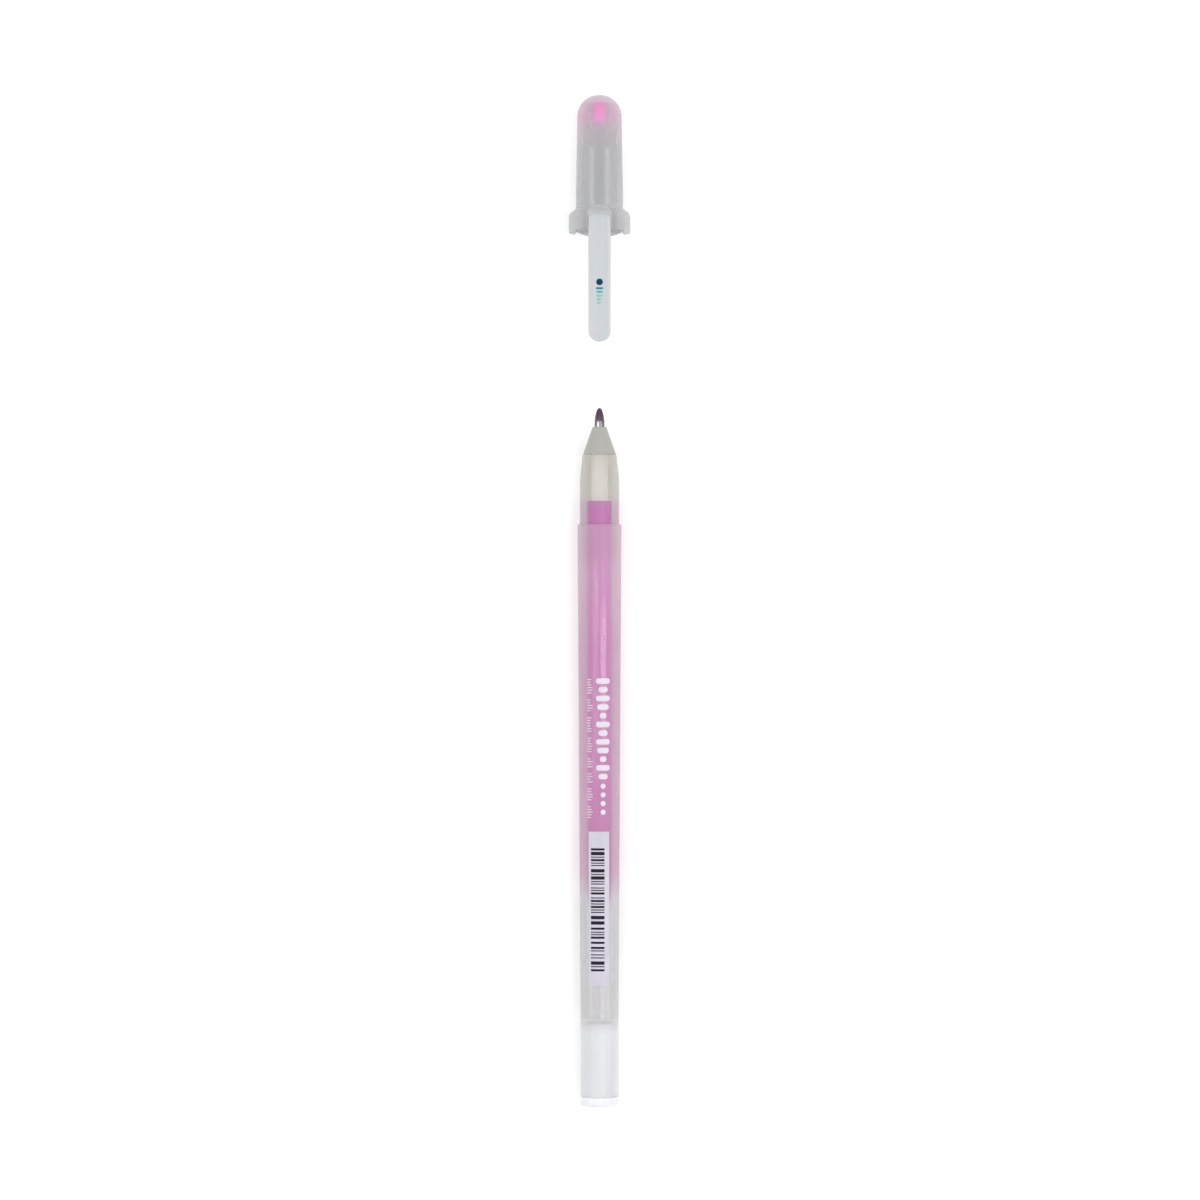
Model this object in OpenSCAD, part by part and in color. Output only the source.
// Capped gel pen, lying on its side with the cap pulled off along the axis.
// The axis runs along Y with the writing tip towards +Y, and the clip is on top.
// Along the pen, a station is a distance in front of the barrel's front step.
// Along the cap, a station is a distance in from the cap's mouth.

/* [Barrel] */
// Length of the barrel
barrel_length = 117.8; // [100:0.1:130]
// Outer diameter at the front step
barrel_front_d = 9.05; // [8.9:0.01:9.3]
// Outer diameter of the straight rear end, which the cap is posted on
barrel_rear_d = 7.85; // [7.6:0.01:8]
// Length of the straight rear end
barrel_post_length = 17.6; // [15.5:0.1:25]
// Bore just behind the front section
barrel_bore_front_d = 6.6; // [6.2:0.01:6.8]
// Bore in the straight rear end
barrel_bore_rear_d = 5.96; // [5.6:0.01:6.1]

/* [Front section] */
// Diameter of the shank in front of the barrel's step
nose_d = 8.05; // [7.7:0.01:8.1]
// Length in front of the barrel's step
nose_length = 20.1; // [19.6:0.1:20.6]
// Diameter where the cone starts
nose_cone_d = 7.15; // [6.8:0.01:7.3]
// Diameter of the flat front face
nose_face_d = 2.95; // [2.6:0.01:3.4]
// Length of the spigot inside the barrel
nose_spigot_length = 8; // [5:0.1:12]
// Diameter of the spigot
nose_spigot_d = 6.9; // [6.85:0.01:7.1]

/* [Writing tip] */
// Diameter of the ball
ball_d = 1; // [0.8:0.01:1.05]
// Diameter of the metal point
point_d = 2.08; // [1.8:0.01:2.2]
// Distance from the front face to the top of the ball
point_reach = 3.9; // [3.4:0.1:4.4]

/* [Ink] */
// Outer diameter of the ink tube
tube_d = 5.05; // [4.6:0.01:5.1]
// Bore of the ink tube
tube_bore_d = 3.4; // [3:0.01:3.8]
// Length of the ink tube
tube_length = 106.4; // [95:0.1:106.8]
// Length of the gel ink column in the tube
ink_length = 80.9; // [30:0.1:85]
// Length of the clear follower behind the ink
follower_length = 8; // [3:0.1:12]

/* [Cap] */
// Length from the mouth to the top of the dome
cap_length = 28.1; // [27.5:0.1:29]
// Outer diameter at the mouth
cap_mouth_d = 9.7; // [9.5:0.01:10]
// Outer diameter where the dome starts
cap_dome_d = 9.16; // [8.9:0.01:9.3]
// Width across the two wings of the collar
collar_width = 12.7; // [12.2:0.1:13.5]
// Height across the two flats of the collar
collar_height = 10.4; // [10.2:0.1:11]
// How far the front and the back of the mouth reach past its sides
mouth_hang = 0.9; // [0.3:0.1:1.2]
// Number of grip ribs inside the cap
rib_count = 8; // [3:1:12]

/* [Clip] */
// Width of the clip
clip_width = 4.6; // [3.6:0.1:5.2]
// Distance from the mouth to the clip's end
clip_reach = 23.1; // [18:0.1:30]
// Thickness at the root
clip_root_t = 1.3; // [1.1:0.05:1.6]
// Thickness at the end
clip_end_t = 1; // [0.8:0.05:1.1]

/* [Layout] */
// How far the cap's mouth is parked in front of the barrel's step
cap_parking = 60.4; // [40:0.1:90]

/* [Hidden] */
$fn = 96;

// Gap between two pieces that are pressed together
press_gap = 0.01;
// Radial clearance of a piece that moves in another
running_gap = 0.02;

plug_head_length = 1.85;
plug_spigot_length = 15.2;
rear_station = -(barrel_length + plug_head_length);
front_station = cap_parking + cap_length;
middle_station = (front_station + rear_station) / 2;
axis_height = collar_height / 2;

// Nose outline, from the step to the cone
nose_r = nose_d / 2;
nose_cone_r = nose_cone_d / 2;
nose_cone_station = 13.9;
nose_shank_station = 9;
nose_cavity_r = 2.6;
nose_cavity_station = 14.5;

// Metal point
point_r = point_d / 2;
ball_r = ball_d / 2;
ball_station = nose_length + point_reach - ball_r;
lip_r = ball_r + 0.02;
lip_station = ball_station + 0.36 * ball_r;
ogive_station = lip_station - 2.45;
ogive_power = 1.6;
point_rear_station = 8.45;
channel_r = 0.6;
feed_hole_r = 0.3;

// Ink, from the end of the holder's nipple backwards
tube_front_station = 4.8;
holder_rear_station = 3.4;
tube_bore_r = tube_bore_d / 2;
ink_rear_station = holder_rear_station - ink_length;

// Inside of the cap
bore_r = 4.27;
rib_r = 4.07;
neck_r = 3.5;
rib_width = 0.6;
rib_from = 5.2;
rib_to = 17.1;
neck_from = 17.3;
seal_r = 1.3;
seal_from = 22.5;
seal_length = 4;
boss_r = 1.85;
boss_from = 22.9;
dome_r = cap_dome_d / 2;
dome_station = cap_length - dome_r;

// Collar and clip
collar_r = collar_width / 2;
mouth_r = cap_mouth_d / 2;
collar_top = 5.05;
nub_r = 5.15;
nub_hang = 0.5;
nub_spacing = 9.8;
clip_bottom = 5.2;
clip_top = clip_bottom + clip_root_t;
hood_reach = 5.3;
clip_gap = 0.1;
bump_r = 0.7;
bump_drop = 0.55;
bump_station = clip_reach - 1.6;

// Points along a quarter turn about [r, s], from one angle to another
function arc(r, s, radius, from, to, steps = 12) =
    [for (i = [0:steps]) let (t = from + (to - from) * i / steps)
        [r + radius * cos(t), s + radius * sin(t)]];

// Turns an outline of [radius, pen station] points about the pen's axis
module turned() {
    translate([0, -middle_station, axis_height])
        rotate([-90, 0, 0])
            rotate_extrude()
                children();
}

// Places what is drawn about the pen's axis, with local +Z towards the tip and -Y up
module at_station(station) {
    translate([0, station - middle_station, axis_height])
        rotate([-90, 0, 0])
            children();
}

// Outline of the barrel: tapered tube, straight at the rear
module barrel() {
    front_r = barrel_front_d / 2;
    rear_r = barrel_rear_d / 2;
    seat_r = nose_spigot_d / 2 + press_gap;
    bore_front_r = barrel_bore_front_d / 2;
    bore_rear_r = barrel_bore_rear_d / 2;
    post_station = barrel_post_length - barrel_length;
    edge = 0.2;
    color("lavender")
        turned()
            polygon([
                [seat_r, 0],
                [front_r - edge, 0],
                [front_r, -edge],
                [rear_r, post_station],
                [rear_r, -barrel_length],
                [bore_rear_r, -barrel_length],
                [bore_rear_r, post_station],
                [bore_front_r, -nose_spigot_length - 0.8],
                [seat_r, -nose_spigot_length - 0.3],
            ]);
}

// Front section: cone, swelling shank and a spigot pressed into the barrel
module front_section() {
    spigot_r = nose_spigot_d / 2;
    bulge = nose_r - nose_cone_r;
    rise = nose_cone_station - nose_shank_station;
    swell = [for (i = [0:6]) let (t = i / 6)
        [nose_r - bulge * pow(t, 2) * (3 - 2 * t), nose_shank_station + rise * t]];
    color("gainsboro")
        turned()
            polygon(concat(
                [[nose_cavity_r, -nose_spigot_length],
                 [spigot_r - 0.2, -nose_spigot_length],
                 [spigot_r, -nose_spigot_length + 0.4],
                 [spigot_r, press_gap],
                 [nose_r, press_gap]],
                swell,
                [[nose_face_d / 2, nose_length],
                 [point_r + press_gap, nose_length],
                 [point_r + press_gap, nose_cavity_station]],
                arc(nose_cavity_r - 0.5, nose_cavity_station - 0.5, 0.5, 90, 0, 6)));
}

// Holder: a slim rod that carries the metal point and plugs the front of the ink tube
module tip_holder() {
    holder_r = tube_bore_r - press_gap;
    socket_r = point_r + press_gap;
    holder_top = nose_cavity_station - press_gap;
    round_r = 0.25;
    color("white")
        turned()
            polygon(concat(
                [[channel_r, holder_rear_station],
                 [holder_r - 0.15, holder_rear_station],
                 [holder_r, holder_rear_station + 0.3]],
                arc(holder_r - round_r, holder_top - round_r, round_r, 0, 90, 5),
                [[socket_r, holder_top],
                 [socket_r, point_rear_station - press_gap],
                 [channel_r, point_rear_station - press_gap]]));
}

// Metal point: straight shank, ogive and a crimped lip around the ball's seat
module tip_point() {
    ogive_length = lip_station - ogive_station;
    ogive = [for (i = [0:10]) let (t = i / 10)
        [point_r - (point_r - lip_r) * pow(t, ogive_power), ogive_station + ogive_length * t]];
    color("silver")
        difference() {
            turned()
                polygon(concat(
                    [[channel_r, point_rear_station],
                     [point_r, point_rear_station]],
                    ogive,
                    [[feed_hole_r, lip_station],
                     [feed_hole_r, ogive_station + 0.9],
                     [channel_r, ogive_station + 0.6]]));
            at_station(ball_station)
                sphere(r = ball_r + running_gap);
        }
}

// Ball that rolls in the point's seat
module tip_ball() {
    color("dimgray")
        at_station(ball_station)
            sphere(r = ball_r);
}

// Clear ink tube
module ink_tube() {
    color("ghostwhite")
        turned()
            translate([tube_bore_r, tube_front_station - tube_length])
                square([(tube_d - tube_bore_d) / 2, tube_length]);
}

// Gel ink: the column in the tube and the thread in the holder's and the point's channel
module gel_ink() {
    column_r = tube_bore_r - press_gap;
    thread_r = channel_r - press_gap;
    column_front = holder_rear_station - press_gap;
    thread_front = ogive_station + 0.5;
    color("orchid")
        turned()
            polygon([
                [0, ink_rear_station],
                [column_r, ink_rear_station],
                [column_r, column_front],
                [thread_r, column_front],
                [thread_r, thread_front],
                [0, thread_front],
            ]);
}

// Clear follower plug that closes the ink's rear end and moves forward as it is used up
module ink_follower() {
    follower_r = tube_bore_r - running_gap;
    color("aliceblue")
        turned()
            translate([0, ink_rear_station - press_gap - follower_length])
                square([follower_r, follower_length]);
}

// End plug: rounded head, hollow spigot pressed into the barrel and an air vent
module end_plug() {
    head_r = 3.86;
    round_r = 0.35;
    spigot_r = barrel_bore_rear_d / 2 - press_gap;
    cup_r = 2;
    cup_floor = -barrel_length + 1.5;
    vent_r = 0.45;
    head_front = -barrel_length - press_gap;
    spigot_front = plug_spigot_length - barrel_length;
    color("white")
        turned()
            polygon(concat(
                [[vent_r, rear_station]],
                arc(head_r - round_r, rear_station + round_r, round_r, -90, 0, 6),
                [[head_r, head_front],
                 [spigot_r, head_front],
                 [spigot_r, spigot_front - 0.4],
                 [spigot_r - 0.3, spigot_front],
                 [cup_r, spigot_front],
                 [cup_r, cup_floor],
                 [vent_r, cup_floor]]));
}

// Outline of the cap's wall with the dome and the seal's pocket, in cap stations
module cap_wall_outline() {
    pocket_r = seal_r + press_gap;
    pocket_top = seal_from + seal_length + press_gap;
    inner_angle = acos(boss_r / neck_r);
    polygon(concat(
        [[bore_r + 0.2, -mouth_hang],
         [mouth_r, -mouth_hang],
         [mouth_r, 5]],
        arc(0, dome_station, dome_r, 0, 90, 24),
        [[0, pocket_top],
         [pocket_r, pocket_top],
         [pocket_r, boss_from],
         [boss_r, boss_from]],
        arc(0, dome_station, neck_r, inner_angle, 0, 12),
        [[neck_r, neck_from + 0.7],
         [bore_r, neck_from],
         [bore_r, 0.4]]));
}

// Outline of the collar: straight wing and chamfered shoulder
module collar_outline() {
    inside_r = mouth_r - 0.2;
    polygon([
        [inside_r, 0],
        [collar_r, 0],
        [collar_r, 2.9],
        [collar_r - 0.1, 3.3],
        [collar_r - 0.48, 3.8],
        [mouth_r, 4.6],
        [inside_r, 4.8],
    ]);
}

// Outline of the nub that hangs from the edge of each wing
module nub_outline() {
    inner_round = 0.3;
    outer_round = 0.45;
    polygon(concat(
        [[nub_r, 0.2]],
        arc(nub_r + inner_round, inner_round - nub_hang, inner_round, 180, 270, 4),
        arc(collar_r - outer_round, outer_round - nub_hang, outer_round, -90, 0, 4),
        [[collar_r, 0.2]]));
}

// Plan of the hood over the clip's root, arched at its front
module hood_plan() {
    half = clip_width / 2;
    crown = 2.1;
    polygon(concat(
        [[-half, 0], [half, 0]],
        [for (i = [0:12]) let (t = 180 * i / 12)
            [half * cos(t), hood_reach - crown + crown * sin(t)]]));
}

// Side of the hood: flat on top, with a rounded slope down to the cap's wall
module hood_side() {
    foot = 4.35;
    slope = 2.2;
    rise = clip_top - mouth_r;
    polygon(concat(
        [[foot, 0], [clip_top, 0]],
        [for (i = [0:8]) let (t = 90 * i / 8)
            [mouth_r + rise * cos(t), hood_reach - slope + slope * sin(t)]],
        [[foot, hood_reach]]));
}

// Places a side outline of [height above the axis, cap station] points across the clip
module clip_side(width) {
    rotate([0, -90, 0])
        rotate([0, 0, -90])
            translate([0, 0, -width / 2])
                linear_extrude(height = width)
                    children();
}

// Cap: thin wall, dome, grip ribs, seal pocket, winged collar and the clip's hood
module cap_shell() {
    mouth_curve_r = (pow(mouth_r, 2) + pow(mouth_hang, 2)) / (2 * mouth_hang);
    color("whitesmoke")
        at_station(cap_parking) {
            // The wall, its mouth rounded off about a vertical axis
            intersection() {
                rotate_extrude()
                    cap_wall_outline();
                union() {
                    translate([0, 0, mouth_curve_r - mouth_hang])
                        rotate([90, 0, 0])
                            cylinder(r = mouth_curve_r, h = 4 * mouth_r, center = true);
                    translate([-2 * mouth_r, -2 * mouth_r, mouth_curve_r - mouth_hang])
                        cube([4 * mouth_r, 4 * mouth_r, 2 * cap_length]);
                }
            }
            // The collar, cut flat on top and underneath
            intersection() {
                rotate_extrude()
                    collar_outline();
                translate([-collar_width, -collar_top, -cap_length])
                    cube([2 * collar_width, collar_top + collar_height / 2, 2 * cap_length]);
            }
            // The nubs below the wings' outer ends
            difference() {
                rotate_extrude()
                    nub_outline();
                translate([-nub_spacing / 2, -collar_width, -cap_length])
                    cube([nub_spacing, 2 * collar_width, 2 * cap_length]);
            }
            // The grip ribs, from the bore's wall inwards
            for (i = [0:rib_count - 1])
                rotate([0, 0, (i + 0.5) * 360 / rib_count])
                    translate([rib_r, -rib_width / 2, rib_from])
                        cube([bore_r - rib_r + 0.15, rib_width, rib_to - rib_from]);
            // The hood over the clip's root
            intersection() {
                rotate([90, 0, 0])
                    linear_extrude(height = 20)
                        hood_plan();
                clip_side(clip_width)
                    hood_side();
            }
        }
}

// Rubbery seal in the dome, hollowed for the ball
module tip_seal() {
    pit_depth = 0.8;
    color("hotpink")
        at_station(cap_parking)
            rotate_extrude()
                polygon([
                    [0, seal_from + pit_depth],
                    [0.45, seal_from + pit_depth],
                    [0.9, seal_from],
                    [seal_r, seal_from],
                    [seal_r, seal_from + seal_length],
                    [0, seal_from + seal_length],
                ]);
}

// Clip: a tongue that runs on past the mouth, with a round end and a contact bump
module clip() {
    half = clip_width / 2;
    end_round = 2.05;
    straight = clip_reach - end_round;
    end_top = clip_bottom + clip_end_t;
    bump_sink = bump_r - bump_drop;
    bump_angle = acos(-bump_sink / bump_r);
    color("gainsboro")
        at_station(cap_parking)
            intersection() {
                rotate([90, 0, 0])
                    linear_extrude(height = 20)
                        polygon(concat(
                            [[half, -clip_gap], [-half, -clip_gap]],
                            [for (i = [0:16]) let (t = 180 + 180 * i / 16)
                                [half * cos(t), -straight + end_round * sin(t)]]));
                clip_side(clip_width)
                    polygon(concat(
                        [[clip_bottom, -clip_gap],
                         [clip_top, -clip_gap],
                         [end_top, -clip_reach],
                         [clip_bottom, -clip_reach]],
                        arc(clip_bottom + bump_sink, -bump_station, bump_r,
                            360 - bump_angle, bump_angle, 10)));
            }
}

barrel();
front_section();
tip_holder();
tip_point();
tip_ball();
ink_tube();
gel_ink();
ink_follower();
end_plug();
cap_shell();
tip_seal();
clip();
